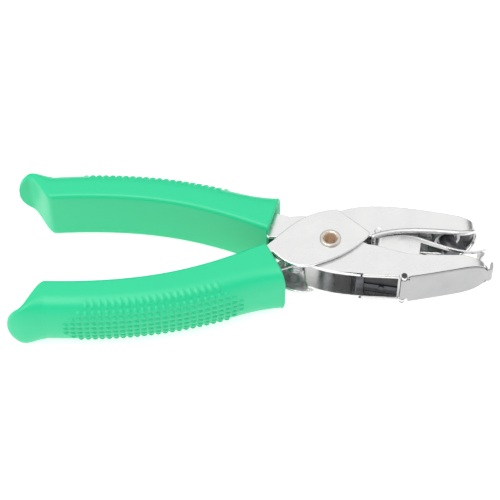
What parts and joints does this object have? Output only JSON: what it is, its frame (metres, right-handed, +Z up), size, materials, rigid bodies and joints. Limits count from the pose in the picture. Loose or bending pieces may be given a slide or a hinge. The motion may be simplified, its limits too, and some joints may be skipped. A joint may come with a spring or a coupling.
{
  "type": "hole punch",
  "caption": "Single-hole plier punch: plated pressed-steel jaws on a hollow rivet, soft green hooked grips, slotted paper leaf, chip cover and return spring",
  "frame": {"origin": "centre of the pivot rivet's bore, at mid thickness", "axes": "+X towards the jaws' noses, +Y the way the upper jaw opens, +Z up through the thickness when the tool lies on its side"},
  "size_m": [0.1395, 0.0533, 0.0178],
  "materials": {
    "plated_steel": "bright nickel plate on pressed steel",
    "satin_steel": "satin nickel plate on pressed steel",
    "hard_steel": "hardened tool steel, oiled black",
    "dark_steel": "blackened turned steel",
    "rivet_metal": "nickel-plated hollow rivet with a rolled head",
    "spring_steel": "drawn spring wire, bright",
    "black_steel": "black phosphate",
    "green_vinyl": "soft moulded vinyl, semi-gloss, green"
  },
  "bodies": {
    "die_side": {"die_lever": "plated_steel", "upper_grip": "green_vinyl", "die_plate": "hard_steel", "die_rivets": "satin_steel", "cross_brace": "satin_steel", "chip_baffle": "black_steel", "cover_catch": "plated_steel", "catch_rivet": "satin_steel", "cover_hinge_pin": "dark_steel"},
    "punch_side": {"punch_lever": "plated_steel", "lower_grip": "green_vinyl", "pivot_rivet": "rivet_metal", "pivot_bush": "satin_steel", "punch_holder": "satin_steel", "punch_collar": "dark_steel", "punch_pin": "hard_steel", "leaf_pin": "satin_steel", "return_spring": "spring_steel"},
    "leaf": {"paper_leaf": "plated_steel"},
    "cover": {"chip_cover": "satin_steel"}
  },
  "joints": [
    {"name": "squeeze", "type": "hinge", "parent": "die_side", "child": "punch_side", "pos_m": [0, 0, 0], "axis": [0, 0, -1], "range_deg": [0, 11], "stiffness_Nm_per_rad": 0.07, "springref_deg": -100.27, "deforming": ["return_spring"]},
    {"name": "leaf_swing", "type": "hinge", "parent": "punch_side", "child": "leaf", "pos_m": [0.014, 0.0039, 0], "axis": [0, 0, 1], "range_deg": [0, 12]},
    {"name": "cover_hinge", "type": "hinge", "parent": "die_side", "child": "cover", "pos_m": [0.0208, -0.0127, 0], "axis": [0, 0, -1], "range_deg": [0, 75]}
  ],
  "couplings": [
    {"joint": "leaf_swing", "follows": "squeeze", "ratio": 1.08}
  ]
}
